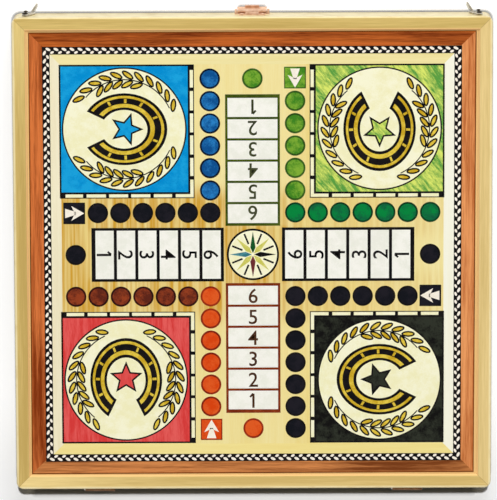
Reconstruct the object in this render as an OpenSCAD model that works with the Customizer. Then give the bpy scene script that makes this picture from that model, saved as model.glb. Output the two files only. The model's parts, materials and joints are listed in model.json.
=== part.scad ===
// A folding ludo board box: two shallow wooden trays, hinged at the rear and
// caught at the front by a clasp and two wire hooks, with the board on the lid.
// It lies closed with the board up. X runs across the board, +Y points to the
// clasp, Z is up, and the origin is under the middle of the case.

/* [Case] */
// Outside width of the case, across the board
case_w = 400; // [340:5:440]
// Outside depth of the case, from hinge side to clasp side
case_d = 400; // [340:5:440]
// Height of each half
half_h = 17; // [17:0.5:30]
// Thickness of the frame rails
rail_w = 12; // [11:0.5:18]
// Radius of the case's four upright corners
corner_r = 6; // [3:0.5:8]
// Rounding of the outer edge round each face
edge_r = 1.5; // [0.5:0.25:2]
// Bevel on the rails' inner lip, beside the board
lip = 1.5; // [0.5:0.1:1.8]
// Bevel on both sides of the seam between the halves
seam_bevel = 0.6; // [0.2:0.1:1]
// Air between the closed halves
seam_gap = 0.2; // [0.1:0.05:0.5]

/* [Panels] */
// Thickness of the plywood panels
panel_t = 4; // [3:0.5:6]
// Depth of a panel's outer face below the rails
panel_recess = 2; // [1.8:0.1:3]
// Depth of the groove that holds a panel
groove_deep = 4; // [3:0.5:5]
// Air between a panel and each side of its groove
groove_air = 0.1; // [0.05:0.05:0.3]
// Thickness of the printed board sheet
sheet_t = 0.4; // [0.2:0.1:0.8]

/* [Tray] */
// Clear width of the row of small compartments at the rear
trough_w = 70; // [50:5:90]
// Number of small compartments, one for each colour and one for the dice
trough_count = 5; // [3:1:6]
// Thickness of the tray's strips
strip_t = 5; // [3:0.5:8]
// Air between the strips and the lid's rails
strip_air = 0.5; // [0.3:0.1:2]

/* [Hinges] */
// Length of each hinge
hinge_l = 25; // [22:1:40]
// Distance from the end of the wall to the middle of each hinge
hinge_in = 70; // [40:5:120]
// Outside radius of the hinge barrel
barrel_r = 2.6; // [1.8:0.1:2.8]
// Radius of the hinge pin
hinge_pin_r = 0.9; // [0.7:0.1:1]
// Thickness of a hinge leaf
leaf_t = 1; // [0.8:0.1:1.4]
// Depth of a hinge leaf in its rail
leaf_w = 9; // [8:0.5:10]
// Length of each of the two end knuckles
knuckle_l = 8; // [6:0.5:8.5]
// Distance between a leaf's two screws
leaf_screw_gap = 14; // [12:1:16]

/* [Clasp] */
// Width of the clasp's plate on the base
clasp_w = 29; // [28:1:40]
// Thickness of the clasp's sheet brass
clasp_t = 0.8; // [0.6:0.1:1]
// Width of each of the plate's two ears
ear_w = 2; // [1.5:0.5:3]
// Radius of the ears
ear_r = 2; // [1.8:0.1:2.1]
// Radius of the flap's knuckle
flap_r = 1.5; // [1.4:0.1:1.5]
// Radius of the clasp's pin
clasp_pin_r = 0.7; // [0.5:0.1:0.8]
// Distance of the clasp's pin from the wall
clasp_out = 2.4; // [2.4:0.1:3]
// Drop from the seam to the clasp's pin
clasp_down = 5; // [4.5:0.25:5.25]
// Rise from the clasp's pin to the keeper's nose
nose_rise = 7.5; // [7:0.25:7.75]
// Radius of the keeper's nose
nose_r = 1; // [0.8:0.1:1.1]
// Width of the keeper's nose
nose_w = 11; // [8:0.5:12]
// Length of the flap's finger tab past its lip
tab_l = 1.8; // [1.5:0.1:2.2]
// Angle out from the wall that the flap has fallen to while unfastened
flap_rest = 20; // [17:1:30]
// Width of the keeper's plate on the lid
keeper_w = 22; // [21:1:26]

/* [Hooks] */
// Distance of each wire hook from the end of its wall
hook_in = 11; // [11:1:40]
// Radius of the hook's wire
wire_r = 0.8; // [0.6:0.1:0.9]
// Radius of the neck that the hook turns on
pivot_r = 1.25; // [1:0.05:1.4]
// Radius of the stud's neck
stud_r = 0.9; // [0.8:0.1:1]
// Distance from the hook's pivot to its stud
hook_l = 14; // [12:0.5:16]
// Height of the hook's pivot above the seam
hook_up = 7; // [6:0.5:8]
// Reach of the hook's finger tail out from the wall
tail_out = 7; // [4:0.5:9]
// Angle that a hook stands at beside its stud while unhooked
hook_rest = 22; // [18:1:40]

/* [Screws] */
// Radius of the wood screws
screw_r = 1; // [0.8:0.1:1.2]
// Length of the wood screws in the wood
screw_l = 7; // [5:0.5:8]
// Radius of the screws' heads
screw_head_r = 1.8; // [1.6:0.1:2]
// Width of the slots in the screws' heads
slot_w = 0.5; // [0.3:0.1:0.6]

/* [Hidden] */
$fn = 48;

// Clearances
fit = 0.05;            // round a turning pin
snug = 0.02;           // round a pin that is driven in
side_air = 0.15;       // beside a knuckle, a leaf or a flap
air = 0.3;             // between a turning piece and what it passes
past = 1;              // how far a cut runs past a face
bit = 0.01;            // the least that one shape runs into another
head_t = 0.9;          // height of a round screw head

// Heights
lid_z = half_h + seam_gap;
hinge_z = half_h + seam_gap / 2;
panel_in = half_h - panel_recess - panel_t;   // from the seam to a panel's inner face

// The opening inside the rails
inner_w = case_w - 2 * rail_w;
inner_d = case_d - 2 * rail_w;

// Hinge places
hinge_x = case_w / 2 - hinge_in;
hinge_y = -case_d / 2 - barrel_r - fit * 2;
middle_knuckle_l = hinge_l - 2 * (knuckle_l + side_air);
hinge_head_r = barrel_r * 0.7;
hinge_head_l = 1;

// Clasp places: the flap's are measured out and up from the clasp's pin
clasp_y = case_d / 2 + clasp_out;
clasp_z = half_h - clasp_down;
flap_w = clasp_w - 2 * (ear_w + air);
flap_t = clasp_t;
nose_out = flap_r - flap_t - air - nose_r;
lip_rise = nose_rise + nose_r + air;
lip_in = nose_out - nose_r / 5;
lip_w = nose_w + 1;
tab_w = flap_w * 0.92;
tab_out = 0.7;                               // how far the finger tab bends out
plate_margin = 0.5;                          // of plate round its ears and screws
plate_screw_z = clasp_z - ear_r - plate_margin - screw_head_r;
plate_screw_x = clasp_w * 0.3;
plate_low = plate_screw_z - screw_head_r - plate_margin;
plate_h = clasp_z + ear_r + plate_margin - plate_low;
keeper_low = lid_z + seam_bevel;
keeper_h = 2 * (screw_head_r + plate_margin);
keeper_screw_x = (keeper_w - keeper_h) / 2;

// Hook places
hook_x = case_w / 2 - hook_in;
hook_y = case_d / 2 + air + wire_r;
hook_z = lid_z + hook_up;
bend_r = pivot_r + fit + wire_r;
stud_z = hook_z - hook_l;
neck_l = 2 * (air + wire_r);
stud_head_r = stud_r * 2;
pivot_head_r = pivot_r + wire_r + air;
pin_head_t = 1.2;
hook_tip = stud_head_r;                      // reach of the wire past the stud's middle
tail_in = 0.5;                               // sideways for each millimetre out
tail_down = 0.57;                            // down for each millimetre out

// Colours
beech = "#c9ac6a";
ply = "#b98a55";
brass = "#c08a4a";
steel = "#8f8a80";

// A rail's cross-section: x from the inner side outwards, y from the seam up
module rail_section() {
    difference() {
        square([rail_w, half_h]);
        difference() {
            translate([rail_w - edge_r, half_h - edge_r]) square(edge_r + past);
            translate([rail_w - edge_r, half_h - edge_r]) circle(edge_r);
        }
        polygon([
            [rail_w - seam_bevel - past, -past],
            [rail_w + past, -past],
            [rail_w + past, seam_bevel + past]
        ]);
        polygon([
            [-past, half_h - lip - past],
            [lip + past, half_h + past],
            [-past, half_h + past]
        ]);
        translate([-past, panel_in - groove_air])
            square([groove_deep + past, panel_t + 2 * groove_air]);
    }
}

// A mitred rail of the given outside length, its outer face towards +Y
module rail(l) {
    straight = l - 2 * corner_r;
    intersection() {
        rotate([90, 0, 90]) linear_extrude(straight, center = true) rail_section();
        translate([0, 0, -past]) linear_extrude(half_h + 2 * past) polygon([
            [rail_w - l / 2, 0], [l / 2 - rail_w, 0], [l / 2, rail_w], [-l / 2, rail_w]
        ]);
    }
    for (end = [0, 1])
        mirror([end, 0, 0]) translate([-straight / 2, rail_w - corner_r, 0]) rotate([0, 0, 90])
            rotate_extrude(angle = 45) intersection() {
                translate([corner_r - rail_w, 0]) rail_section();
                square([corner_r, half_h]);
            }
}

// Places a rail on a side of the case: 0 front, 1 left, 2 rear, 3 right
module on_side(side) {
    out = (side % 2 == 0 ? case_d : case_w) / 2 - rail_w;
    rotate([0, 0, 90 * side]) translate([0, out, 0]) children();
}

// Turns a half that is drawn with its face up into the base or the lid
module as_base() { translate([0, 0, half_h]) mirror([0, 0, 1]) children(); }
module as_lid() { translate([0, 0, lid_z]) children(); }

module plain_rail(side) {
    on_side(side) rail(side % 2 == 0 ? case_w : case_d);
}

module panel() {
    grip = groove_deep - 2 * groove_air;
    translate([-inner_w / 2 - grip, -inner_d / 2 - grip, panel_in])
        cube([inner_w + 2 * grip, inner_d + 2 * grip, panel_t]);
}

module board_sheet() {
    color("#efe3b8")
        as_lid() translate([groove_air - inner_w / 2, groove_air - inner_d / 2, panel_in + panel_t])
            cube([inner_w - 2 * groove_air, inner_d - 2 * groove_air, sheet_t]);
}

// Tray strips
divider_y = trough_w - inner_d / 2;
strip_h = panel_in - strip_air;

module tray_divider() {
    color(beech)
        as_base() translate([-inner_w / 2, divider_y, strip_air])
            cube([inner_w, strip_t, strip_h]);
}

module tray_partition(i) {
    pitch = (inner_w + strip_t) / trough_count;
    color(beech)
        as_base() translate([i * pitch - strip_t - inner_w / 2, -inner_d / 2, strip_air])
            cube([strip_t, trough_w, strip_h]);
}

// A wood screw along -Z with its head's underside at the origin's height
module screw_body(head_up) {
    point_l = screw_r * 1.5;
    point_r = screw_r / 5;
    translate([0, 0, point_l - screw_l]) cylinder(screw_l - point_l + head_up, screw_r, screw_r);
    translate([0, 0, -screw_l]) cylinder(point_l, point_r, screw_r);
}

module sunk_screw() {
    difference() {
        union() {
            screw_body(bit);
            cylinder(leaf_t, screw_r, screw_head_r);
        }
        translate([-screw_head_r, -slot_w / 2, leaf_t / 2]) cube([screw_head_r * 2, slot_w, leaf_t]);
    }
}

module round_screw() {
    difference() {
        union() {
            screw_body(clasp_t);
            translate([0, 0, clasp_t]) intersection() {
                cylinder(head_t, screw_head_r, screw_head_r);
                translate([0, 0, head_t - 2 * screw_head_r]) sphere(2 * screw_head_r);
            }
        }
        translate([-screw_head_r, -slot_w / 2, clasp_t + head_t / 2])
            cube([screw_head_r * 2, slot_w, head_t]);
    }
}

// Room for a screw, in wood and in a plate
module pilot() {
    translate([0, 0, -screw_l]) cylinder(screw_l + past, screw_r + snug, screw_r + snug);
}
module sunk_hole() {
    translate([0, 0, -past]) cylinder(leaf_t + 2 * past, screw_r + snug, screw_r + snug);
    cylinder(leaf_t + bit, screw_r + snug, screw_head_r + snug);
}

// Places on the hinges, in the frame of a half that is drawn face up
module each_leaf_screw(x) {
    for (s = [-0.5, 0.5])
        translate([x + s * leaf_screw_gap, (leaf_w - case_d) / 2, leaf_t])
            mirror([0, 0, 1]) children();
}

module leaf_screws() {
    for (s = [-1, 1]) each_leaf_screw(s * hinge_x) sunk_screw();
}

module hinge_mortise(x) {
    translate([x - hinge_l / 2 - snug, -case_d / 2 - past, -past])
        cube([hinge_l + 2 * snug, leaf_w + snug + past, leaf_t + past]);
    each_leaf_screw(x) pilot();
}

// A leaf in the frame of a half drawn face up, with the seam at z = 0 and the
// barrel's axis half of the seam's gap below it
module leaf(x, has_ends) {
    spans = has_ends
        ? [[-hinge_l / 2, knuckle_l], [hinge_l / 2 - knuckle_l, knuckle_l]]
        : [[-middle_knuckle_l / 2, middle_knuckle_l]];
    bore_r = hinge_pin_r + (has_ends ? snug : fit);
    difference() {
        union() {
            translate([x - hinge_l / 2, -case_d / 2, 0]) cube([hinge_l, leaf_w, leaf_t]);
            for (s = spans) {
                translate([x + s[0], hinge_y, 0]) cube([s[1], -case_d / 2 - hinge_y + bit, leaf_t]);
                translate([x + s[0], hinge_y, -seam_gap / 2])
                    rotate([0, 90, 0]) cylinder(s[1], barrel_r, barrel_r);
            }
        }
        translate([x - hinge_l, hinge_y, -seam_gap / 2])
            rotate([0, 90, 0]) cylinder(2 * hinge_l, bore_r, bore_r);
        each_leaf_screw(x) sunk_hole();
    }
}

// A pin with a head at its left end
module hinge_pin(x) {
    color(steel) translate([x - hinge_l / 2 - snug, hinge_y, hinge_z]) rotate([0, 90, 0]) {
        cylinder(hinge_l + 2 * snug, hinge_pin_r, hinge_pin_r);
        translate([0, 0, -hinge_head_l]) cylinder(hinge_head_l, hinge_head_r, hinge_head_r);
    }
}

// Points an upright shape out of the front wall at a place on it
module from_front(x, z) {
    translate([x, case_d / 2, z]) rotate([-90, 0, 0]) children();
}

module clasp_plate_screw_places() {
    for (s = [-1, 1]) from_front(s * plate_screw_x, plate_screw_z) children();
}
module clasp_keeper_screw_places() {
    for (s = [-1, 1]) from_front(s * keeper_screw_x, keeper_low + keeper_h / 2) children();
}

// A bar of width w across the middle, from a side view of x out and y up
module across(w) {
    translate([-w / 2, 0, 0]) rotate([90, 0, 90]) linear_extrude(w) children();
}

module clasp_plate() {
    color(brass) difference() {
        union() {
            translate([-clasp_w / 2, case_d / 2, plate_low]) cube([clasp_w, clasp_t, plate_h]);
            for (s = [-1, 1]) translate([s * (clasp_w - ear_w) / 2 - ear_w / 2, 0, 0]) {
                translate([0, clasp_y, clasp_z]) rotate([0, 90, 0]) cylinder(ear_w, ear_r, ear_r);
                translate([0, case_d / 2, clasp_z - ear_r]) cube([ear_w, clasp_out, 2 * ear_r]);
            }
        }
        translate([-clasp_w, clasp_y, clasp_z]) rotate([0, 90, 0])
            cylinder(2 * clasp_w, clasp_pin_r + snug, clasp_pin_r + snug);
        clasp_plate_screw_places() pilot();
    }
}

module clasp_pin() {
    color(steel) translate([-clasp_w / 2, clasp_y, clasp_z]) rotate([0, 90, 0])
        cylinder(clasp_w, clasp_pin_r, clasp_pin_r);
}

// The flap is drawn fastened, standing up from its pin, and falls out and down
module clasp_flap() {
    color(brass) translate([0, clasp_y, clasp_z]) rotate([flap_rest - 180, 0, 0]) {
        difference() {
            union() {
                across(flap_w) translate([flap_r - flap_t, 0]) square([flap_t, lip_rise + flap_t]);
                across(flap_w) circle(flap_r);
                across(lip_w) translate([lip_in, lip_rise]) square([flap_r - lip_in, flap_t]);
            }
            translate([-flap_w, 0, 0]) rotate([0, 90, 0])
                cylinder(2 * flap_w, clasp_pin_r + fit, clasp_pin_r + fit);
        }
        across(tab_w) polygon([
            [flap_r - flap_t, lip_rise + flap_t / 2],
            [flap_r, lip_rise + flap_t / 2],
            [flap_r + tab_out, lip_rise + flap_t + tab_l],
            [flap_r + tab_out - flap_t, lip_rise + flap_t + tab_l]
        ]);
    }
}

module clasp_keeper() {
    color(brass) difference() {
        union() {
            translate([-keeper_w / 2, case_d / 2, keeper_low]) cube([keeper_w, clasp_t, keeper_h]);
            translate([0, clasp_y, clasp_z + nose_rise]) across(nose_w) {
                translate([nose_out, 0]) circle(nose_r);
                translate([-clasp_out, -nose_r]) square([clasp_out + nose_out, 2 * nose_r]);
            }
        }
        clasp_keeper_screw_places() pilot();
    }
}

// A headed pin out of the front wall, with a driven shank
module headed_pin(r, head_r) {
    dome_r = 1.5 * head_r;
    translate([0, 0, -screw_l]) cylinder(screw_l + neck_l, r, r);
    translate([0, 0, neck_l]) intersection() {
        cylinder(pin_head_t, head_r, head_r);
        translate([0, 0, pin_head_t - dome_r]) sphere(dome_r);
    }
}

module hook_pivot(side) {
    color("#3a3226") from_front(side * hook_x, hook_z)
        headed_pin(pivot_r, pivot_head_r);
}
module hook_stud(side) {
    color("#3a3226") from_front(side * hook_x, stud_z)
        headed_pin(stud_r, stud_head_r);
}

// A round bar between two points
module bar(from, to) {
    way = to - from;
    l = norm(way);
    translate(from) rotate([0, acos(way[2] / l), atan2(way[1], way[0])])
        cylinder(l, wire_r, wire_r);
}

// The left hook, unhooked: an eye on the pivot, a straight shank down its inner
// side, a quarter turn under the stud and a tail that bends out for a finger.
// It is drawn round its pivot, with y along the pivot's axis.
module hook_wire() {
    low = -hook_l - bend_r;
    tail = [tail_in * tail_out - hook_tip, tail_out, low - tail_down * tail_out];
    rotate([90, 0, 0]) rotate_extrude() translate([bend_r, 0]) circle(wire_r, $fn = 24);
    bar([bend_r, 0, 0], [bend_r, 0, -hook_l], $fn = 24);
    translate([0, 0, -hook_l]) rotate([90, 0, 0]) rotate([0, 0, -90])
        rotate_extrude(angle = 90) translate([bend_r, 0]) circle(wire_r, $fn = 24);
    bar([0, 0, low], [-hook_tip, 0, low], $fn = 24);
    translate([-hook_tip, 0, low]) sphere(wire_r, $fn = 24);
    bar([-hook_tip, 0, low], tail, $fn = 24);
    translate(tail) sphere(wire_r, $fn = 24);
}

module hook(side) {
    color(steel) translate([side * hook_x, hook_y, hook_z]) mirror([side > 0 ? 1 : 0, 0, 0])
        rotate([0, -hook_rest, 0]) hook_wire();
}

// Frame rails with their cuts
module base_rail_front() {
    color(beech) difference() {
        as_base() plain_rail(0);
        clasp_plate_screw_places() pilot();
        for (s = [-1, 1]) from_front(s * hook_x, stud_z)
            translate([0, 0, -screw_l]) cylinder(screw_l + past, stud_r + snug, stud_r + snug);
    }
}
module lid_rail_front() {
    color(beech) difference() {
        as_lid() plain_rail(0);
        clasp_keeper_screw_places() pilot();
        for (s = [-1, 1]) from_front(s * hook_x, hook_z)
            translate([0, 0, -screw_l]) cylinder(screw_l + past, pivot_r + snug, pivot_r + snug);
    }
}
module rear_rail() {
    difference() {
        plain_rail(2);
        for (s = [-1, 1]) hinge_mortise(s * hinge_x);
    }
}

base_rail_front();
color(beech) as_base() rear_rail();  // base_rail_rear
color(beech) as_base() plain_rail(1);  // base_rail_left
color(beech) as_base() plain_rail(3);  // base_rail_right
color(ply) as_base() panel();  // base_panel
lid_rail_front();
color(beech) as_lid() rear_rail();  // lid_rail_rear
color(beech) as_lid() plain_rail(1);  // lid_rail_left
color(beech) as_lid() plain_rail(3);  // lid_rail_right
color(ply) as_lid() panel();  // lid_panel
board_sheet();
tray_divider();
for (i = [1 : trough_count - 1])
    tray_partition(i);
color(brass) as_base() leaf(-hinge_x, true);  // hinge_left_base_leaf
color(brass) as_lid() leaf(-hinge_x, false);  // hinge_left_lid_leaf
hinge_pin(-hinge_x);  // hinge_left_pin
color(brass) as_base() leaf(hinge_x, true);  // hinge_right_base_leaf
color(brass) as_lid() leaf(hinge_x, false);  // hinge_right_lid_leaf
hinge_pin(hinge_x);  // hinge_right_pin
color(brass) as_base() leaf_screws();  // hinge_base_screws
color(brass) as_lid() leaf_screws();  // hinge_lid_screws
clasp_plate();
clasp_pin();
clasp_flap();
color(brass) clasp_plate_screw_places() round_screw();  // clasp_plate_screws
clasp_keeper();
color(brass) clasp_keeper_screw_places() round_screw();  // clasp_keeper_screws
hook(-1);  // hook_left
hook_pivot(-1);  // hook_left_pivot
hook_stud(-1);  // hook_left_stud
hook(1);  // hook_right
hook_pivot(1);  // hook_right_pivot
hook_stud(1);  // hook_right_stud
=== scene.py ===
# %% [markdown]
# # A folding ludo board box
# The object is a flat wooden games case. Two shallow trays are hinged at the rear, and the
# board lies in the frame of the upper one. This lesson dresses the construction model: every
# wooden and metal piece gets a finish, and the print of the board is laid on as thin ink.
# The model comes in as a fixed frame in metres, so each new piece goes where the real one is.

# %% Load the frame
import json
import math
import bpy
import bmesh
from mathutils import Matrix, Vector


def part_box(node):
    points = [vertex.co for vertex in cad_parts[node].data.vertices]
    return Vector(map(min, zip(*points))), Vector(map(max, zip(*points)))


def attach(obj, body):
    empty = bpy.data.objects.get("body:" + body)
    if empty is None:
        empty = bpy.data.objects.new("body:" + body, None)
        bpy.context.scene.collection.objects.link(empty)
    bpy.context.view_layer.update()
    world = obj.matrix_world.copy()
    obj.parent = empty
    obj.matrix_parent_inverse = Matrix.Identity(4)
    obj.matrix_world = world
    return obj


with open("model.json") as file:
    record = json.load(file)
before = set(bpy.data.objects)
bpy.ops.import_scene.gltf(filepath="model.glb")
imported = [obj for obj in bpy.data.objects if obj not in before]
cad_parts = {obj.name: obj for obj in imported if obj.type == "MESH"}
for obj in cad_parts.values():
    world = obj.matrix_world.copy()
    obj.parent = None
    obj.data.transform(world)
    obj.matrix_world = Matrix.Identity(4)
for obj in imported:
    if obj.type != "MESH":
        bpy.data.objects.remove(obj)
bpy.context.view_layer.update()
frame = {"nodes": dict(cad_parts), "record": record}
bpy.ops.object.select_all(action="DESELECT")
MM = 0.001
nodes = frame["nodes"]
print("pieces from the construction model:", len(nodes))

# %% [markdown]
# The case was photographed from almost straight above with a long lens. Its two sides run
# together a little towards the hinge side, and a thin strip of the front wall shows, so the
# camera leans about nine degrees towards the clasp, and it is rolled a fifth of a degree. A
# camera is aimed by turning its own axes: it looks along its -Z, and its Y is up in the picture.

# %% Camera
LEAN = math.radians(9.3)
ROLL = math.radians(-0.2)
DISTANCE = 3.88
aim = Vector((-3.7, 4.0, 34.0)) * MM
camera = bpy.data.objects.new("camera", bpy.data.cameras.new("camera"))
bpy.context.collection.objects.link(camera)
camera.location = aim + DISTANCE * Vector((0, math.sin(LEAN), math.cos(LEAN)))
camera.rotation_euler = (-LEAN, 0, 0)
camera.rotation_euler.rotate_axis("Z", ROLL)
camera.data.sensor_fit = "HORIZONTAL"
camera.data.sensor_width = 36
camera.data.lens = 335.9
camera.data.clip_end = 50
bpy.context.scene.camera = camera
print("camera height in metres:", round(camera.location.z, 3))

# %% [markdown]
# Colours are easier to judge as they look on a screen, from 0 to 255, but a shader works
# with light, so they are turned into linear values first. The other helpers keep the node
# trees short. The first of them adds any node and fills its sockets, each with a value or
# with a link. The rest stand for the nodes that come back most often.

# %% Colour and node helpers
def tint(r, g, b):
    def to_light(c):
        c /= 255
        return c / 12.92 if c <= 0.04045 else ((c + 0.055) / 1.055) ** 2.4
    return (to_light(r), to_light(g), to_light(b), 1)

def put(tree, kind, setup, sockets):
    made = tree.nodes.new("ShaderNode" + kind)
    for key, value in setup.items():
        setattr(made, key, value)
    for key, value in sockets.items():
        if isinstance(value, bpy.types.NodeSocket):
            tree.links.new(value, made.inputs[key])
        else:
            made.inputs[key].default_value = value
    return made

def calc(tree, operation, a, b=0.0, clamp=False):
    made = put(tree, "Math", {"operation": operation, "use_clamp": clamp}, {0: a, 1: b})
    return made.outputs[0]

def add_up(tree, total, *others):
    for other in others:
        total = calc(tree, "ADD", total, other)
    return total

def swing(tree, value, middle, gain):
    return calc(tree, "MULTIPLY", calc(tree, "SUBTRACT", value, middle), gain)

def ramp(tree, value, start, end, low=0.0, high=1.0, kind="LINEAR"):
    made = put(tree, "MapRange", {"interpolation_type": kind},
               {"Value": value, "From Min": start, "From Max": end, "To Min": low, "To Max": high})
    return made.outputs[0]

print("white in linear light:", tint(255, 255, 255))

# %% [markdown]
# A few more helpers deal with colour and texture. A Mix node has one set of sockets for each
# kind of value, and those for colours are numbers 6 and 7. Noise is looked up at a place, and
# a stretched place pulls it out long. A node group is a small tree with named sockets of its
# own, made once and used by many materials.

# %% Texture and material helpers
def blend(tree, share, a, b):
    return put(tree, "Mix", {"data_type": "RGBA"}, {0: share, 6: a, 7: b}).outputs[2]

def stretch(tree, place, scale):
    return put(tree, "Mapping", {}, {"Vector": place, "Scale": scale}).outputs[0]

def noise(tree, place, scale, detail, **more):
    made = put(tree, "TexNoise", {}, {"Vector": place, "Scale": scale, "Detail": detail, **more})
    return made.outputs["Fac"]

def new_group(name, ins, outs):
    made = bpy.data.node_groups.new(name, "ShaderNodeTree")
    for label, kind, value in ins:
        socket = made.interface.new_socket(label, in_out="INPUT", socket_type="NodeSocket" + kind)
        if value is not None:
            socket.default_value = value
    for label, kind in outs:
        made.interface.new_socket(label, in_out="OUTPUT", socket_type="NodeSocket" + kind)
    return made, made.nodes.new("NodeGroupInput").outputs, made.nodes.new("NodeGroupOutput").inputs

def start_material(name):
    made = bpy.data.materials.new(name)
    made.use_nodes = True
    return made, made.node_tree, made.node_tree.nodes["Principled BSDF"].inputs

print("materials before the first finish:", len(bpy.data.materials))

# %% [markdown]
# A studio table top is a large pale plane. The camera and the shiny pieces should see white
# paper, but a white floor would also throw light up on the dark side of the case. Light Path
# says which kind of ray is asking, so the floor is dark grey for the light that bounces.
# Ambient Occlusion paints shade into it in the narrow gap along the foot of the case. The
# shadow behind the hinges comes out too pale by itself, so a painted shadow colours the paper
# darker in a strip along that wall, and the glow that keeps the rest white fades out towards
# it. Both follow the distance from a flat box that lies there.

# %% Floor
FLOOR_DROP = 0.2 * MM
GREY_FOR_BOUNCES = 0.15
CONTACT_SHADE_WIDTH, CONTACT_SHADE_POWER = 3 * MM, 3.0
STRIP_MIDDLE = (0, -206 * MM, 0)
STRIP_HALF_SIZE = (185 * MM, 3 * MM, 1)
STRIP_FADE, STRIP_SHADE = 6 * MM, 0.3
GLOW_FADE, GLOW = 90 * MM, 0.12
bpy.ops.mesh.primitive_plane_add(size=8, location=(0, 0, -FLOOR_DROP))
floor = bpy.context.object
floor.name = "floor"
paper, tree, surface = start_material("floor_paper")
floor.data.materials.append(paper)

def is_seen(tree):
    path = tree.nodes.new("ShaderNodeLightPath").outputs
    seen = path["Is Camera Ray"]
    for other in ("Is Glossy Ray", "Is Transmission Ray"):
        seen = calc(tree, "MAXIMUM", seen, path[other])
    return seen

def by_ray(tree, hidden, shown):
    return ramp(tree, is_seen(tree), 0.0, 1.0, hidden, shown)

def vector_step(operation, value, second=(0, 0, 0)):
    made = put(tree, "VectorMath", {"operation": operation}, {0: value, 1: second})
    return made.outputs["Value" if operation == "LENGTH" else "Vector"]

far = tree.nodes.new("ShaderNodeTexCoord").outputs["Object"]
far = vector_step("ABSOLUTE", vector_step("SUBTRACT", far, STRIP_MIDDLE))
far = vector_step("MAXIMUM", vector_step("SUBTRACT", far, STRIP_HALF_SIZE))
far = vector_step("LENGTH", far)
# painted shade: Ambient Occlusion darkens the paper in the narrow gap along the foot of the case
contact_shade = put(tree, "AmbientOcclusion", {"samples": 8}, {"Distance": CONTACT_SHADE_WIDTH}).outputs["AO"]
shade = calc(tree, "POWER", contact_shade, CONTACT_SHADE_POWER)
shade = calc(tree, "MULTIPLY", shade, by_ray(tree, GREY_FOR_BOUNCES, 1.0))
# painted shadow: the paper is coloured darker in a strip behind the hinges, and the white glow
# fades out there
shade = calc(tree, "MULTIPLY", shade, ramp(tree, far, 0.0, STRIP_FADE, low=STRIP_SHADE))
glow = ramp(tree, far, 0.0, GLOW_FADE, high=by_ray(tree, 0.0, GLOW), kind="SMOOTHSTEP")
tree.links.new(shade, surface["Base Color"])
tree.links.new(glow, surface["Emission Strength"])
surface["Emission Color"].default_value = (1, 1, 1, 1)
surface["Roughness"].default_value = 0.9
surface["Specular IOR Level"].default_value = 0.1
print("floor at z =", floor.location.z)

# %% [markdown]
# A narrow sun from the clasp side gives the thin dark shadow behind the hinges. A wide panel
# on the same side softens it, and a low panel makes the front wall shine. The rear panel
# fills the hinge side, and light linking keeps it off the floor, where it would wash the
# shadow out. No lamp shows in reflections: there the pieces see the white sky.

# %% Light
all_but_floor = bpy.data.collections.new("all_but_floor")
all_but_floor.objects.link(floor)
all_but_floor.collection_objects[0].light_linking.link_state = "EXCLUDE"

def add_light(name, kind, place, strength, **settings):
    lamp = bpy.data.lights.new(name, kind)
    lamp.energy = strength
    for key, value in settings.items():
        setattr(lamp, key, value)
    holder = bpy.data.objects.new(name, lamp)
    bpy.context.collection.objects.link(holder)
    holder.location = place
    holder.rotation_euler = Vector(place).to_track_quat("Z", "Y").to_euler()
    holder.visible_glossy = False
    return holder

add_light("sun", "SUN", (0.05, 1.08, 3.0), 2.25, angle=math.radians(2.5))
add_light("main_panel", "AREA", (0.25, 1.5, 2.0), 10, size=1.2)
add_light("front_panel", "AREA", (0.1, 2.2, 0.5), 17, size=0.7)
rear_panel = add_light("rear_panel", "AREA", (-0.3, -1.8, 0.4), 5, size=1.2)
rear_panel.light_linking.receiver_collection = all_but_floor
world = bpy.data.worlds.new("studio")
world.use_nodes = True
bpy.context.scene.world = world
sky = world.node_tree
sky.links.new(by_ray(sky, 0.05, 1.0), sky.nodes["Background"].inputs["Strength"])
sky.nodes["Background"].inputs["Color"].default_value = (1, 1, 1, 1)
bpy.context.scene.view_settings.view_transform = "Standard"

# %% [markdown]
# Planed wood shows three things along the grain: broad bands of tone, narrow streaks, and
# fine fibres with pores. All are the same noise, pulled out long in one direction. The group
# takes a place whose X runs along the grain, and hands back a colour, a roughness and a
# height for the bump.

# %% Wood grain group
wood, given, result = new_group(
    "long_grain",
    [("Place", "Vector", None), ("Pale", "Color", (1, 1, 1, 1)), ("Dark", "Color", (0, 0, 0, 1)),
     ("Contrast", "Float", 1.0), ("Gloss", "Float", 0.4)],
    [("Color", "Color"), ("Roughness", "Float"), ("Height", "Float")])

def grain_layer(scale, detail):
    place = stretch(wood, given["Place"], scale)
    return noise(wood, place, 1.0, detail, Roughness=0.55, Distortion=0.25)

def part_of(value, share):
    return calc(wood, "MULTIPLY", value, share)

tone = grain_layer((2.2, 18, 18), 2)
streak = grain_layer((7, 170, 170), 4)
fibre = grain_layer((45, 1500, 1500), 2)
total = add_up(wood, part_of(tone, 0.9), part_of(streak, 0.8), part_of(fibre, 0.5))
darkness = calc(wood, "ADD", swing(wood, total, 1.1, given["Contrast"]), 0.5, clamp=True)
wood.links.new(blend(wood, darkness, given["Pale"], given["Dark"]), result["Color"])
wood.links.new(add_up(wood, given["Gloss"], part_of(fibre, 0.15)), result["Roughness"])
wood.links.new(add_up(wood, fibre, part_of(streak, 0.6)), result["Height"])
print("wood group:", len(wood.nodes), "nodes")
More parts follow.
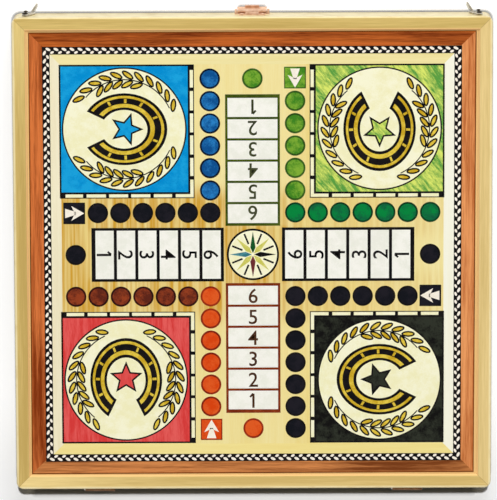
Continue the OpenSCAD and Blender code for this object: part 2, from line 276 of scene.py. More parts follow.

# %% [markdown]
# The rails need colour bands that follow the frame and not the grain: a lighter inner lip, a
# thin line at each mitre, and a painted highlight along the rounded outer edges, in patches. The
# larger of |x| and |y| tells
# how far a point is from the middle of the case, which gives square bands at once. Slack
# moves the bands of one rail outwards, because the photo shows them further out in front.

# %% Frame bands and edge highlight group
LIP_REACH = (189.5 * MM, 189.0 * MM)
LIP_HEIGHT = (32.4 * MM, 32.8 * MM)
MITRE_LINE = (0.45 * MM, 0.15 * MM)
EDGE_HIGHLIGHT_REACH = (197.5 * MM, 198.5 * MM)
marks_and_highlight, given, result = new_group(
    "frame_marks_and_highlight", [("Place", "Vector", None), ("Slack", "Float", 0.0)],
    [("Lip", "Float"), ("Mitre", "Float"), ("EdgeHighlight", "Float")])
axes = put(marks_and_highlight, "SeparateXYZ", {}, {0: given["Place"]}).outputs
across = calc(marks_and_highlight, "ABSOLUTE", axes["X"])
along = calc(marks_and_highlight, "ABSOLUTE", axes["Y"])
reach = calc(marks_and_highlight, "MAXIMUM", across, along)
nearer = calc(marks_and_highlight, "MINIMUM", across, along)
drawn = calc(marks_and_highlight, "SUBTRACT", reach, given["Slack"])
lip = calc(marks_and_highlight, "MULTIPLY", ramp(marks_and_highlight, drawn, *LIP_REACH), ramp(marks_and_highlight, axes["Z"], *LIP_HEIGHT))
mitre = ramp(marks_and_highlight, calc(marks_and_highlight, "SUBTRACT", reach, nearer), *MITRE_LINE)
# painted highlight on the rounded outer edges of the frame, broken into patches by noise
highlight_patches = ramp(marks_and_highlight, noise(marks_and_highlight, given["Place"], 55.0, 5.0), 0.1, 0.5)
edge_highlight = calc(marks_and_highlight, "MULTIPLY", ramp(marks_and_highlight, drawn, *EDGE_HIGHLIGHT_REACH), highlight_patches)
for label, value in (("Lip", lip), ("Mitre", mitre), ("EdgeHighlight", edge_highlight)):
    marks_and_highlight.links.new(value, result[label])
print("marks group:", len(marks_and_highlight.nodes), "nodes")

# %% [markdown]
# The rails are varnished light hardwood, and no two are quite the same colour. Their tints
# also carry painted light: the right rail is lighter than the left. One recipe
# makes both directions: the coordinates are turned a quarter for the side rails, so the grain
# always runs along the piece. Object coordinates are used, because every piece lies at the
# origin, unturned. A group's roughness and height go into the shader in the same way for
# every finish, so one helper plugs them in.

# %% Rail materials
STRAIGHT = (0, 0, 0)
QUARTER = (0, 0, math.radians(90))

def place_of(tree, turn=STRAIGHT):
    spot = tree.nodes.new("ShaderNodeTexCoord").outputs["Object"]
    return put(tree, "Mapping", {}, {"Vector": spot, "Rotation": turn}).outputs[0]

def use_group(tree, group, sockets):
    return put(tree, "Group", {"node_tree": group}, sockets).outputs

def plug_in(tree, shader, colour, look, strength, depth):
    tree.links.new(colour, shader["Base Color"])
    tree.links.new(look["Roughness"], shader["Roughness"])
    bump = put(tree, "Bump", {}, {"Height": look["Height"], "Strength": strength,
                                  "Distance": depth})
    tree.links.new(bump.outputs[0], shader["Normal"])

def rail_material(name, turn, pale, dark, slack=0.0):
    made, tree, shader = start_material(name)
    grain = use_group(tree, wood, {"Place": place_of(tree, turn), "Pale": pale, "Dark": dark,
                                   "Contrast": 1.9, "Gloss": 0.3})
    mark_and_highlight = use_group(tree, marks_and_highlight, {"Place": place_of(tree), "Slack": slack})
    colour = grain["Color"]
    # the last of these three is a painted highlight along the rounded outer edges
    for label, share, paint in (("Lip", 0.8, tint(255, 206, 138)),
                                ("Mitre", 0.45, tint(140, 104, 52)),
                                ("EdgeHighlight", 0.8, tint(255, 240, 190))):
        colour = blend(tree, calc(tree, "MULTIPLY", mark_and_highlight[label], share), colour, paint)
    plug_in(tree, shader, colour, grain, 0.25, 0.15 * MM)
    shader["Specular IOR Level"].default_value = 0.25
    shader["Coat Weight"].default_value = 0.15
    shader["Coat Roughness"].default_value = 0.2
    return made

# each rail's tint also carries painted light: the right rail is lighter than the left
rail_woods = {
    "front": rail_material("rail_wood_front", STRAIGHT, tint(226, 198, 122), tint(188, 156, 80),
                           slack=0.9 * MM),
    "rear": rail_material("rail_wood_rear", STRAIGHT, tint(250, 222, 151), tint(213, 182, 109)),
    "left": rail_material("rail_wood_left", QUARTER, tint(235, 208, 133), tint(197, 166, 93)),
    "right": rail_material("rail_wood_right", QUARTER, tint(244, 216, 150), tint(210, 180, 110)),
}
plywood = rail_material("plywood_face", STRAIGHT, tint(211, 167, 111), tint(178, 129, 78))
for name, piece in nodes.items():
    if "rail" in name:
        piece.data.materials[0] = rail_woods[name.split("_")[2]]
    elif name.endswith("_panel"):
        piece.data.materials[0] = plywood
    elif "tray" in name:
        piece.data.materials[0] = rail_woods["rear" if "divider" in name else "left"]
print("wooden pieces finished:", sum("rail" in n or "tray" in n or "panel" in n for n in nodes))

# %% [markdown]
# The clasp is sheet brass that has gone coppery, with duller patches and fine scratches. The
# hinges at the back take a darker, browner copy of it: painted shade, for the shadow they
# stand in behind the case. The pins and hooks are steel wire, dark
# where they are never touched. Metal is mostly reflection, so the detail goes into the
# roughness as much as into the colour.

# %% Metal finishes
metal, given, result = new_group(
    "handled_metal",
    [("Place", "Vector", None), ("Bright", "Color", (1, 1, 1, 1)), ("Dull", "Color", (0, 0, 0, 1)),
     ("Gloss", "Float", 0.3)],
    [("Color", "Color"), ("Roughness", "Float"), ("Height", "Float")])
patch = noise(metal, given["Place"], 260.0, 4.0)
scratch = noise(metal, stretch(metal, given["Place"], (500, 6000, 3000)), 1.0, 2.0)
aged = ramp(metal, patch, 0.35, 0.8)
rough = add_up(metal, given["Gloss"], calc(metal, "MULTIPLY", aged, 0.22),
               calc(metal, "MULTIPLY", scratch, 0.1))
metal.links.new(blend(metal, aged, given["Bright"], given["Dull"]), result["Color"])
metal.links.new(rough, result["Roughness"])
metal.links.new(add_up(metal, scratch, patch), result["Height"])

def metal_material(name, bright, dull, gloss):
    made, tree, shader = start_material(name)
    look = use_group(tree, metal, {"Place": place_of(tree), "Bright": bright, "Dull": dull,
                                   "Gloss": gloss})
    plug_in(tree, shader, look["Color"], look, 0.2, 0.05 * MM)
    shader["Metallic"].default_value = 1.0
    return made

finishes = {
    "brass": metal_material("coppery_brass", tint(246, 210, 182), tint(204, 156, 122), 0.32),
    "steel": metal_material("pin_steel", tint(214, 210, 200), tint(150, 144, 132), 0.25),
    "wire": metal_material("hook_wire", tint(206, 200, 188), tint(140, 132, 116), 0.3),
    "dark_steel": metal_material("dark_steel", tint(74, 66, 54), tint(40, 34, 26), 0.4),
}
# painted shade: the hinge leaves get a darker, browner copy of the brass
shaded_hinge_brass = metal_material("shaded_hinge_brass", tint(124, 90, 60), tint(72, 50, 32), 0.4)
slot_of = {row["node"]: row["material_slot"] for row in frame["record"]["subparts"]}
for name, piece in nodes.items():
    if slot_of[name] in finishes:
        piece.data.materials[0] = shaded_hinge_brass if "leaf" in name else finishes[slot_of[name]]
print("metal pieces finished:", sum(slot_of[n] in finishes for n in nodes))

# %% [markdown]
# The board itself is bare varnished wood in its middle. The streaks run from the hinges to
# the clasp, and they are stronger and more ochre in the rows beside the arms, more so on the
# left. A mask made from the coordinates says where the ochre goes, and stretched noise says
# which streaks take it. The mask's limits are in millimetres from the middle of the board.

# %% Board field material
def varnish(shader):
    shader["Specular IOR Level"].default_value = 0.03
    shader["Coat Weight"].default_value = 0.12
    shader["Coat Roughness"].default_value = 0.12
    shader["Coat IOR"].default_value = 1.4

def band(value, start, end):
    return ramp(tree, value, start * MM, end * MM, kind="SMOOTHSTEP")

def both(a, b):
    return calc(tree, "MULTIPLY", a, b)

def at_least(least, value):
    return calc(tree, "ADD", least, both(value, 1 - least))

field, tree, shader = start_material("board_field")
place = place_of(tree)
axes = put(tree, "SeparateXYZ", {}, {0: place}).outputs
high = calc(tree, "ABSOLUTE", axes["Y"])
wide = calc(tree, "ABSOLUTE", axes["X"])
rows = both(both(band(high, 8, 24), band(high, 64, 44)), at_least(0.3, band(axes["X"], 90, -50)))
middle = both(band(high, 34, 20), band(wide, 60, 20))
left_end = both(band(high, 44, 24), band(axes["X"], -128, -142))
mask = calc(tree, "MAXIMUM", calc(tree, "MAXIMUM", rows, middle), left_end)
lines = ramp(tree, noise(tree, stretch(tree, place, (330, 9, 9)), 1.0, 3.0), 0.38, 0.62)
grain = use_group(tree, wood, {"Place": place_of(tree, QUARTER), "Pale": tint(249, 236, 174),
                               "Dark": tint(240, 216, 130), "Contrast": 1.3, "Gloss": 0.3})
colour = blend(tree, both(mask, at_least(0.25, lines)), grain["Color"], tint(212, 160, 50))
plug_in(tree, shader, colour, grain, 0.1, 0.03 * MM)
varnish(shader)
nodes["board_sheet"].data.materials[0] = field
print("field material:", len(tree.nodes), "nodes")

# %% [markdown]
# Printing ink is never quite even. Each ink here mixes two near colours in a wide wash and
# soft patches with a fine speckle, and lies glossy under the varnish. The place can be
# stretched or turned before it goes in, so one ink can be streaky, and another hatched.

# %% Ink group
ink, given, result = new_group(
    "printed_ink",
    [("Place", "Vector", None), ("Ink", "Color", (0, 0, 0, 1)), ("Second", "Color", (1, 1, 1, 1)),
     ("Share", "Float", 1.0)],
    [("Color", "Color"), ("Roughness", "Float"), ("Height", "Float")])
cloud = noise(ink, given["Place"], 150.0, 3.0)
speck = noise(ink, given["Place"], 900.0, 2.0)
wash = noise(ink, given["Place"], 45.0, 1.0)
mix = add_up(ink, swing(ink, cloud, 0.47, 3.0), swing(ink, speck, 0.45, 1.6),
             swing(ink, wash, 0.5, 2.4))
mix = calc(ink, "MULTIPLY", calc(ink, "ADD", mix, 0.3, clamp=True), given["Share"])
ink.links.new(blend(ink, mix, given["Ink"], given["Second"]), result["Color"])
ink.links.new(calc(ink, "ADD", 0.24, calc(ink, "MULTIPLY", speck, 0.2)), result["Roughness"])
ink.links.new(speck, result["Height"])

def printed(name, group, turn, scale, sockets):
    made, tree, shader = start_material(name)
    place = stretch(tree, place_of(tree, turn), scale)
    look = use_group(tree, group, {"Place": place, **sockets})
    plug_in(tree, shader, look["Color"], look, 0.08, 0.02 * MM)
    varnish(shader)
    return made

def ink_material(name, first, second, share=1.0, turn=STRAIGHT, scale=(1, 1, 1)):
    return printed(name, ink, turn, scale, {"Ink": first, "Second": second, "Share": share})

black_ink = ink_material("ink_black", tint(5, 4, 6), tint(22, 18, 18))
cream_ink = ink_material("ink_cream", tint(253, 250, 216), tint(245, 240, 188), 0.8)
white_ink = ink_material("ink_white", tint(255, 246, 232), tint(246, 236, 216), 0.7)
ochre_ink = ink_material("ink_ochre", tint(202, 164, 34), tint(234, 206, 76))
print("inks so far:", sum(m.name.startswith("ink_") for m in bpy.data.materials))

# %% [markdown]
# Every printed shape is a thin slab of ink. A flat primitive is placed on its layer, shaped
# in edit mode, and then pushed up by one ink thickness. Layers are counted from the sheet,
# so two inks never share one plane, which would flicker. Lengths are given in millimetres
# from the middle of the board.

# %% Flat shapes
INK = 0.05 * MM
sheet_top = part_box("board_sheet")[1][2]

def level(layer):
    return sheet_top + (layer - 1) * INK

def freeze():
    bpy.ops.object.transform_apply(location=True, rotation=True, scale=True)
    return bpy.context.object

def start_disc(x, y, radius, layer, sides, squash=1.0, turn=0.0):
    bpy.ops.mesh.primitive_circle_add(vertices=sides, radius=radius * MM, fill_type="NGON",
                                      location=(x * MM, y * MM, level(layer)))
    bpy.context.object.scale = (1, squash, 1)
    bpy.context.object.rotation_euler = (0, 0, math.radians(turn))
    return freeze()

def start_patch(left, low, right, high, layer):
    middle = ((left + right) / 2 * MM, (low + high) / 2 * MM, level(layer))
    bpy.ops.mesh.primitive_plane_add(size=1, location=middle)
    bpy.context.object.scale = ((right - left) * MM, (high - low) * MM, 1)
    return freeze()

print("top of the sheet in mm:", round(sheet_top / MM, 2))

# %% [markdown]
# The steps in edit mode come back so often that each gets a name. Things are picked by their
# place: a test looks at each corner point, or at the middle of each face, in millimetres. An
# outline is an inset whose inner face takes the second ink. A ring is a disc with its middle
# inset and cut out, and then opened where a test says so.

# %% Edit mode steps
def in_edit_mode(piece):
    bpy.ops.object.select_all(action="DESELECT")
    piece.select_set(True)
    bpy.context.view_layer.objects.active = piece
    bpy.ops.object.mode_set(mode="EDIT")
    bpy.ops.mesh.select_all(action="SELECT")

def out_again(piece):
    bpy.ops.object.mode_set(mode="OBJECT")
    return piece

def pick(kind, test):
    bpy.ops.mesh.select_mode(type=kind)
    bpy.ops.mesh.select_all(action="DESELECT")
    mesh = bmesh.from_edit_mesh(bpy.context.object.data)
    for thing in mesh.verts if kind == "VERT" else mesh.faces:
        spot = thing.co if kind == "VERT" else thing.calc_center_median()
        if test(spot / MM):
            thing.select_set(True)
    mesh.select_flush_mode()
    bmesh.update_edit_mesh(bpy.context.object.data)

def squeeze(piece, test, shares, centre=(0, 0, 0), shift=(0, 0, 0)):
    in_edit_mode(piece)
    pick("VERT", test)
    bpy.ops.transform.resize(value=shares, center_override=centre)
    bpy.ops.transform.translate(value=shift)
    return out_again(piece)

def thicken(piece):
    in_edit_mode(piece)
    bpy.ops.mesh.extrude_region_move(TRANSFORM_OT_translate={"value": (0, 0, INK)})
    bpy.ops.mesh.select_all(action="SELECT")
    bpy.ops.mesh.normals_make_consistent(inside=False)
    return out_again(piece)

def outline(piece, width):
    in_edit_mode(piece)
    bpy.ops.mesh.inset(thickness=width * MM, use_boundary=True)
    piece.active_material_index = 1
    bpy.ops.object.material_slot_assign()
    return out_again(piece)

def open_ring(disc, width, in_gap):
    in_edit_mode(disc)
    bpy.ops.mesh.inset(thickness=width * MM)
    bpy.ops.mesh.delete(type="FACE")
    pick("FACE", in_gap)
    bpy.ops.mesh.delete(type="FACE")
    return out_again(disc)

print("one layer of ink in mm:", round(INK / MM, 3))

# %% [markdown]
# A board repeats itself: the same circle many times, the same corner four times. A shape is
# modelled once, and then stamped: its mesh is copied, turned and moved. Copies share nothing,
# so each can take its own ink. At the end the copies are joined, welded with a threshold far
# below the ink thickness, and hung on the lid.
#
# The print is not quite true to its frame, so each share of it has a fit. The border fit
# makes margin and rope a little narrower than they are deep, and sets them low. The block fit
# moves the corners a little left and down. The wood fit also leans the mahogany, because its
# sides run slightly out of square.

# %% Stamping and settling
WELD = 1e-6
AS_DRAWN = Matrix()
BORDER_FIT = Matrix.Translation((-0.2 * MM, -0.6 * MM, 0)) @ Matrix.Diagonal((0.9925, 1.0, 1, 1))
BLOCK_FIT = Matrix.Translation((-0.5 * MM, -0.3 * MM, 0))
WOOD_FIT = Matrix(((0.9968, 0.00225, 0, -0.3 * MM), (0.0016, 1.00235, 0, 0.39 * MM),
                   (0, 0, 1, 0), (0, 0, 0, 1)))

def turned(degrees):
    return Matrix.Rotation(math.radians(degrees), 4, "Z")

def moved(x, y):
    return Matrix.Translation((x * MM, y * MM, 0))

def dye(piece, *inks):
    slots = piece.data.materials
    for number, one in enumerate(inks):
        if number < len(slots):
            slots[number] = one
        else:
            slots.append(one)
    return piece

def stamp(piece, x=0.0, y=0.0, turn=0.0, inks=()):
    twin = piece.copy()
    twin.data = piece.data.copy()
    twin.data.transform(moved(x, y) @ turned(turn))
    bpy.context.collection.objects.link(twin)
    return dye(twin, *inks)

def join(pieces):
    bpy.ops.object.select_all(action="DESELECT")
    for piece in pieces:
        piece.select_set(True)
    bpy.context.view_layer.objects.active = pieces[0]
    bpy.ops.object.join()
    return bpy.context.object

def drop(*pieces):
    for piece in pieces:
        bpy.data.objects.remove(piece)

def settle(piece, name, fit=AS_DRAWN):
    piece.data.transform(fit)
    in_edit_mode(piece)
    bpy.ops.mesh.remove_doubles(threshold=WELD)
    bpy.ops.mesh.normals_make_consistent(inside=False)
    out_again(piece)
    piece.name = name
    piece.data.name = name
    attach(piece, "lid")
    print(name, "has", len(piece.data.polygons), "faces")

# %% [markdown]
# A square border is four strips cut at 45 degrees. One strip is a plane whose inner edge is
# scaled down until both ends slope, and the other three are quarter turns of it. Each side
# takes its own wood, since no two sides of a real border match. A band is given by its inner
# reach, its outer reach and its layer. Where two bands overlap, the upper one hides the edge
# of the lower one.

# %% Mitred strips
BANDS = {
    "margin_border": (160.9, 169.6, 1),
    "rope_border": (169.6, 176.0, 3),
    "mahogany_border": (174.4, 186.0, 2),
    # painted shadow of the frame's lip on the outer edge of the board
    "lip_shadow_line": (186.0, 186.9, 2),
    "border_rim": (185.0, 187.9, 1),
}

def mitred_strip(inner, outer, layer):
    strip = start_patch(-outer, inner, outer, outer, layer)
    squeeze(strip, lambda spot: spot.y < (inner + outer) / 2, (inner / outer, 1, 1),
            centre=(0, inner * MM, 0))
    return thicken(strip)

def border(name, woods, fit):
    strip = mitred_strip(*BANDS[name])
    sides = [stamp(strip, turn=90 * quarter, inks=[one]) for quarter, one in enumerate(woods)]
    drop(strip)
    settle(join(sides), name, fit)

def printed_wood(name, turn, pale, dark, contrast, fineness):
    return printed(name, wood, turn, (fineness, fineness, fineness),
                   {"Pale": pale, "Dark": dark, "Contrast": contrast, "Gloss": 0.24})

def paired_woods(name, pale, dark, contrast):
    across = printed_wood(name + "_across", STRAIGHT, pale, dark, contrast, 2.0)
    down = printed_wood(name + "_down", QUARTER, pale, dark, contrast, 2.0)
    return [across, down, across, down]

border("mahogany_border", [
    printed_wood("mahogany_top", STRAIGHT, tint(202, 104, 42), tint(104, 36, 2), 2.8, 1.8),
    printed_wood("mahogany_left", QUARTER, tint(222, 122, 62), tint(130, 50, 8), 2.8, 1.8),
    printed_wood("mahogany_bottom", STRAIGHT, tint(216, 138, 78), tint(120, 60, 22), 2.8, 1.8),
    printed_wood("mahogany_right", QUARTER, tint(240, 160, 98), tint(176, 88, 36), 2.6, 1.8),
], WOOD_FIT)
# painted shadow: a dark line along the mahogany's outer edge, where the frame's lip shades the
# board
border("lip_shadow_line", paired_woods("lip_shadow_line", tint(134, 72, 20), tint(90, 40, 4), 1.6),
       WOOD_FIT)
border("border_rim", paired_woods("border_rim", tint(246, 204, 138), tint(226, 176, 108), 1.2),
       AS_DRAWN)
border("margin_border", [
    printed_wood("margin_top", STRAIGHT, tint(252, 240, 184), tint(240, 224, 152), 1.4, 1.6),
    printed_wood("margin_left", QUARTER, tint(254, 247, 218), tint(240, 228, 188), 1.4, 1.6),
    printed_wood("margin_bottom", STRAIGHT, tint(252, 238, 164), tint(243, 221, 136), 1.4, 1.6),
    printed_wood("margin_right", QUARTER, tint(255, 254, 240), tint(250, 246, 220), 1.4, 1.6),
], BORDER_FIT)

# %% [markdown]
# The rope is a black strip with two rows of slanting white ovals, the inner row half a step
# on. A row is one flat oval and an Array modifier with a fixed step. The modifier is applied,
# and the row is turned with its strip to the other three sides.

# %% Rope border
ROPE_STEP = 6.7

def oval_row(count, height, length, width, slant):
    oval = start_disc(0, 0, length / 2, 4, sides=10, squash=width / length, turn=slant)
    thicken(oval)
    oval.data.transform(moved(-(count - 1) / 2 * ROPE_STEP, height))
    row = oval.modifiers.new("row", "ARRAY")
    row.count = count
    row.use_relative_offset = False
    row.use_constant_offset = True
    row.constant_offset_displace = (ROPE_STEP * MM, 0, 0)
    bpy.ops.object.modifier_apply(modifier="row")
    return dye(oval, white_ink)

side = join([dye(mitred_strip(*BANDS["rope_border"]), black_ink),
             oval_row(52, 173.9, 4.5, 2.3, -25), oval_row(51, 171.3, 3.5, 2.1, 25)])
others = [stamp(side, turn=turn) for turn in (90, 180, 270)]
settle(join([side] + others), "rope_border", BORDER_FIT)

# %% [markdown]
# Each corner holds one team's stable: a coloured square with a pale disc, framed on its two
# inner sides by a dashed line. The corner at the lower left is built first. Dashes are pale
# patches on a black plate, and the first one bends round the inner corner.

# %% Corner block
DISC_AT = -106.4
DASH_FAR, DASH_NEAR = -51.6, -48.9
DASHES = ((51.6, 63.8), (66.9, 82.1), (85, 101), (103.6, 119.5), (122.1, 138.3), (141.3, 155.9))
HATCHED = (0, 0, math.radians(50))
red_ink = ink_material("ink_red", tint(218, 60, 58), tint(234, 98, 94), 0.9, scale=(2.2, 0.25, 1))
blue_ink = ink_material("ink_blue", tint(0, 142, 210), tint(26, 166, 224), 0.9)
green_ink = ink_material("ink_green", tint(92, 160, 68), tint(222, 234, 110), turn=HATCHED,
                         scale=(0.6, 2.6, 1))
dark_ink = ink_material("ink_dark", tint(8, 7, 6), tint(52, 56, 45), 0.75)

def dash(left, low, right, high):
    return dye(thicken(start_patch(left, low, right, high, 2)), cream_ink)

def corner_block():
    plate = dye(thicken(start_patch(-160.6, -160.6, -48.1, -48.1, 1)), black_ink)
    square = dye(thicken(start_patch(-159.2, -159.2, -53.3, -53.3, 2)), red_ink)
    disc = dye(start_disc(DISC_AT, DISC_AT, 52, 3, sides=96), black_ink, cream_ink)
    parts = [plate, square, thicken(outline(disc, 1.2))]
    for start, end in DASHES:
        parts.append(dash(-end, DASH_FAR, -start, DASH_NEAR))
        parts.append(dash(DASH_FAR, -end, DASH_NEAR, -start))
    parts.append(dash(DASH_FAR, DASH_FAR, DASH_NEAR, DASH_NEAR))
    return join(parts)

block = corner_block()
print("corner block:", len(block.data.polygons), "faces")

# %% [markdown]
# The discs hold an emblem of good luck, made for this board: a horseshoe with a star in it
# between two leafy sprays. The horseshoe is an open ring with a black outline, and a black
# groove round the shoe carries the nail heads. Both are open at the heel, where a point lies
# further down than it lies to the side.

# %% Horseshoe
def heel(width):
    return lambda spot: spot.y < 0 and abs(spot.x) < -width * spot.y

def star(radius, layer, inks, width):
    shape = dye(start_disc(0, 0, radius, layer, sides=10), *inks)
    squeeze(shape, lambda spot: round(math.degrees(math.atan2(spot.x, spot.y)) / 36) % 2 == 1,
            (0.45, 0.45, 1))
    return thicken(outline(shape, width))

ring = open_ring(dye(start_disc(0, 0, 31.5, 4, sides=48), black_ink, ochre_ink), 14.5, heel(0.58))
thicken(outline(ring, 2.2))
nail = dye(thicken(start_patch(-0.9, 23.0, 0.9, 26.6, 6)), ochre_ink)
nails = [stamp(nail, turn=turn) for turn in (-116, -88, -60, -24, 24, 60, 88, 116)]
groove = open_ring(dye(start_disc(0, 0, 27.2, 5, sides=48), black_ink), 4.8, heel(0.66))
shoe = join([ring, thicken(groove)] + nails)
shoe.data.transform(Matrix.Diagonal((0.96, 1.14, 1, 1)))
drop(nail)
print("horseshoe faces:", len(shoe.data.polygons))

# %% [markdown]
# A spray is a row of leaves on a bent stem. One leaf is a squashed disc with a dark rim. It is
# stamped along an arc: outside the stem all the way, and inside it in the middle. Each leaf
# leans away from the stem, and the right spray is the same leaves at the mirrored angles.
# Both stems are what is left of one thin ring.

# %% Leaf sprays
OUTER_ROW, INNER_ROW = 45.6, 37.8
LEAF_LEAN = 32
leaf = dye(start_disc(0, 0, 5.8, 4, sides=12, squash=0.44), black_ink, ochre_ink)
thicken(outline(leaf, 1.3))

def place_leaf(hand, angle, reach, lean):
    x = hand * reach * math.cos(math.radians(angle))
    y = reach * math.sin(math.radians(angle))
    return stamp(leaf, x, y, 90 + hand * (angle + lean - 180 * (hand < 0)))

spray = []
for hand in (-1, 1):
    for angle in range(-56, 70, 12):
        spray.append(place_leaf(hand, angle, OUTER_ROW, LEAF_LEAN))
        if -40 < angle < 20:
            spray.append(place_leaf(hand, angle, INNER_ROW, -LEAF_LEAN))
stem = dye(start_disc(0, 0, 42.1, 4, sides=72), black_ink)
open_ring(stem, 0.9, lambda spot: not -0.9 < math.atan2(spot.y, abs(spot.x)) < 1.1)
spray.append(thicken(stem))
drop(leaf)
print("leaves and stems:", len(spray))

# %% [markdown]
# The emblem is set upright on the lower left disc, and the whole block is then turned by
# quarters, so each player sees an emblem the same way up. Only the team's ink changes. After
# the join the inks sit in numbered slots, and the team's slot is found by its material.

# %% Four corners
emblem = join([shoe] + spray)
emblem.data.transform(moved(DISC_AT, DISC_AT))
badge = star(14.5, 4, [black_ink, red_ink], 1.4)
badge.data.transform(moved(DISC_AT, -104.8))
block = join([block, emblem, badge])
team = [m.name for m in block.data.materials].index("ink_red")
corners = [("red", red_ink), ("black", dark_ink), ("green", green_ink), ("blue", blue_ink)]
for quarter, (name, colour) in enumerate(corners):
    copy = stamp(block, turn=90 * quarter)
    copy.data.materials[team] = colour
    settle(copy, "corner_" + name, BLOCK_FIT)
drop(block)

# %% [markdown]
# The track is a ring of circles. They stand in lanes on both sides of each arm, and one more
# closes the arm's outer end. One circle with a dark rim is modelled, and each team's circles
# are stamps of it with that team's two inks: the rim and the fill.

# %% Track circles
LANE, SPOT_STEP, ARM_END = 35.5, 18.8, 148.3
circle_tints = {
    "blue": ((tint(4, 14, 30), tint(8, 28, 54)), (tint(8, 78, 142), tint(40, 128, 196))),
    "light_green": ((tint(42, 78, 22), tint(62, 104, 34)), (tint(62, 132, 32), tint(130, 176, 54))),
    "green": ((tint(0, 48, 22), tint(6, 70, 38)), (tint(0, 132, 60), tint(12, 92, 60))),
    "orange": ((tint(120, 30, 12), tint(156, 46, 18)), (tint(220, 68, 12), tint(228, 92, 34))),
    "brown": ((tint(36, 8, 8), tint(60, 18, 14)), (tint(92, 34, 20), tint(150, 62, 30))),
}
circle_inks = {"black": [black_ink, ink_material("fill_black", tint(10, 12, 20), tint(26, 24, 32))]}
for name, (rim, fill) in circle_tints.items():
    circle_inks[name] = [ink_material("rim_" + name, *rim), ink_material("fill_" + name, *fill)]
spots = [LANE + SPOT_STEP * n for n in range(7)]
track = {
    "blue": [(-LANE, y) for y in spots[1:]],
    "light_green": [(LANE, y) for y in spots[1:6]] + [(0, ARM_END)],
    "green": [(x, LANE) for x in spots],
    "black": [(-x, LANE) for x in spots[:6]] + [(x, -LANE) for x in spots[:6]]
             + [(LANE, -y) for y in spots[1:]] + [(ARM_END, 0), (-ARM_END, 0)],
    "orange": [(-LANE, -y) for y in spots[:6]] + [(0, -ARM_END)],
    "brown": [(-x, -LANE) for x in spots[1:]],
}
circle = dye(start_disc(0, 0, 8.6, 1, sides=32), black_ink, cream_ink)
thicken(outline(circle, 1.6))
for name, places in track.items():
    made = [stamp(circle, x, y, inks=circle_inks[name]) for x, y in places]
    settle(join(made), "track_" + name)
drop(circle)

# %% [markdown]
# Four squares say where a pawn comes in. The arrow on them has a notched head and a flared
# tail. The head is a circle of three points with its base edge divided, and the new point is
# pushed in. The tail is a plane with its upper edge narrowed.

# %% Start squares
def arrow():
    head = start_disc(0, 1.2, 7.2, 2, sides=3)
    in_edit_mode(head)
    pick("VERT", lambda spot: spot.y < 0)
    bpy.ops.mesh.subdivide()
    pick("VERT", lambda spot: spot.y < 0 and abs(spot.x) < 1)
    bpy.ops.transform.translate(value=(0, 3.0 * MM, 0))
    out_again(head)
    tail = squeeze(start_patch(-4.0, -7.6, 4.0, 1.2, 2), lambda spot: spot.y > 0, (0.3, 1, 1))
    return [dye(thicken(head), white_ink), dye(thicken(tail), white_ink)]

square = dye(start_patch(-9.1, -9.1, 9.1, 9.1, 1), black_ink, cream_ink)
thicken(outline(square, 0.9))
head, tail = arrow()
starts = {"green": (35.5, 149.0, 180, "light_green"), "black_left": (-149.3, 35.3, -90, "black"),
          "black_right": (148.6, -35.3, 90, "black"), "red": (-35.3, -149.2, 0, "orange")}
for name, (x, y, turn, colour) in starts.items():
    made = [stamp(square, x, y, turn, circle_inks[colour]), stamp(head, x, y, turn),
            stamp(tail, x, y, turn)]
    settle(join(made), "start_" + name)
drop(square, head, tail)

# %% [markdown]
# Each arm is a ladder of six pale steps on a dark plate, numbered from 1 outside to 6 at the
# middle. The numbers are text objects with the built-in font. They are turned into meshes
# before they are moved, and each arm's numbers face the player whose steps they are. Text is
# extruded both ways from its plane, so that plane lies half a layer up. The font's 1 is a
# bare stroke, so it gets a flag.

# %% Numbered arms
STEPS, FIRST_STEP, STEP_LENGTH, STEP_WIDTH = 6, 34.6, 17.9, 43.6

def digit(text, turn, along):
    bpy.ops.object.text_add()
    written = bpy.context.object
    written.data.body = text
    written.data.size = 17.4 * MM
    written.data.align_x = "CENTER"
    written.data.align_y = "CENTER"
    written.data.offset = 0.12 * MM
    written.data.extrude = INK / 2
    written.data.resolution_u = 4
    bpy.ops.object.convert(target="MESH")
    written.data.transform(Matrix.Translation((0, -1.3 * MM, level(3.5))))
    if text == "1":
        flag = thicken(start_patch(-1.9, -0.8, 1.9, 0.8, 3))
        flag.data.transform(moved(-1.5, 4.0) @ turned(50))
        written = join([written, flag])
    written.data.transform(moved(along, 0) @ turned(turn))
    return written

def step_patch(middle, gap):
    half_length, half_width = STEP_LENGTH / 2 - gap, STEP_WIDTH / 2 - gap
    return thicken(start_patch(middle - half_length, -half_width,
                               middle + half_length, half_width, 2))

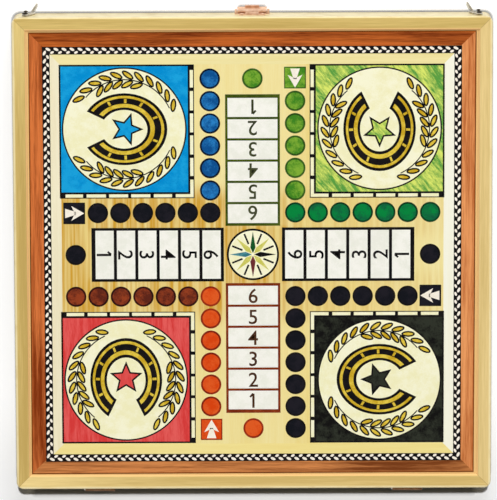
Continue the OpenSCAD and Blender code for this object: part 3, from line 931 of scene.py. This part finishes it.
green_line = ink_material("line_green", tint(50, 68, 8), tint(76, 92, 24))
brown_line = ink_material("line_brown", tint(112, 36, 12), tint(140, 56, 24))
green_number = ink_material("number_green", tint(48, 52, 28), tint(70, 74, 44))
brown_number = ink_material("number_brown", tint(58, 32, 14), tint(84, 52, 30))
step_ink = ink_material("ink_step", tint(252, 250, 240), tint(240, 240, 226), 0.8)
arms = [("right", 0, 90, black_ink, black_ink, 1.3),
        ("top", 90, 180, green_line, green_number, 1.0),
        ("left", 180, -90, black_ink, black_ink, 1.3),
        ("bottom", 270, 0, brown_line, brown_number, 1.0)]
for name, heading, turn, line, number, gap in arms:
    parts = [dye(thicken(start_patch(24.3, -22.8, 135.1, 22.8, 1)), line)]
    for count in range(STEPS):
        middle = FIRST_STEP + STEP_LENGTH * count
        parts.append(dye(step_patch(middle, gap), step_ink))
        parts.append(dye(digit(str(STEPS - count), turn - heading, middle), number))
    whole = join(parts)
    whole.data.transform(turned(heading))
    settle(whole, "arm_" + name)

# %% [markdown]
# The goal in the middle is a pale disc with eight slim points and eight strokes between them.
# A point is a four-sided circle, pulled long, with its two side corners moved towards the
# middle of the board.

# %% Goal
goal = dye(start_disc(0, 0, 21.9, 1, sides=72), black_ink, cream_ink)
parts = [thicken(outline(goal, 1.7))]
point = squeeze(start_disc(0, 10.2, 9.2, 2, sides=4), lambda spot: abs(spot.x) > 1, (0.24, 1, 1),
                shift=(0, -4.2 * MM, 0))
thicken(point)
stroke = dye(thicken(start_patch(-0.75, 9.5, 0.75, 18.8, 2)), black_ink)
yellow = ink_material("goal_yellow", tint(206, 202, 92), tint(232, 224, 130))
teal = ink_material("goal_teal", tint(50, 118, 130), tint(96, 160, 170))
green = ink_material("goal_green", tint(14, 78, 30), tint(30, 104, 60))
maroon = ink_material("goal_maroon", tint(104, 40, 44), tint(140, 70, 60))
for turn, colour in ((0, green), (90, teal), (180, maroon), (270, black_ink),
                     (45, yellow), (135, yellow), (225, yellow), (315, yellow)):
    parts.append(stamp(point, turn=turn, inks=[colour]))
    parts.append(stamp(stroke, turn=turn + 22.5))
drop(point, stroke)
settle(join(parts), "goal")
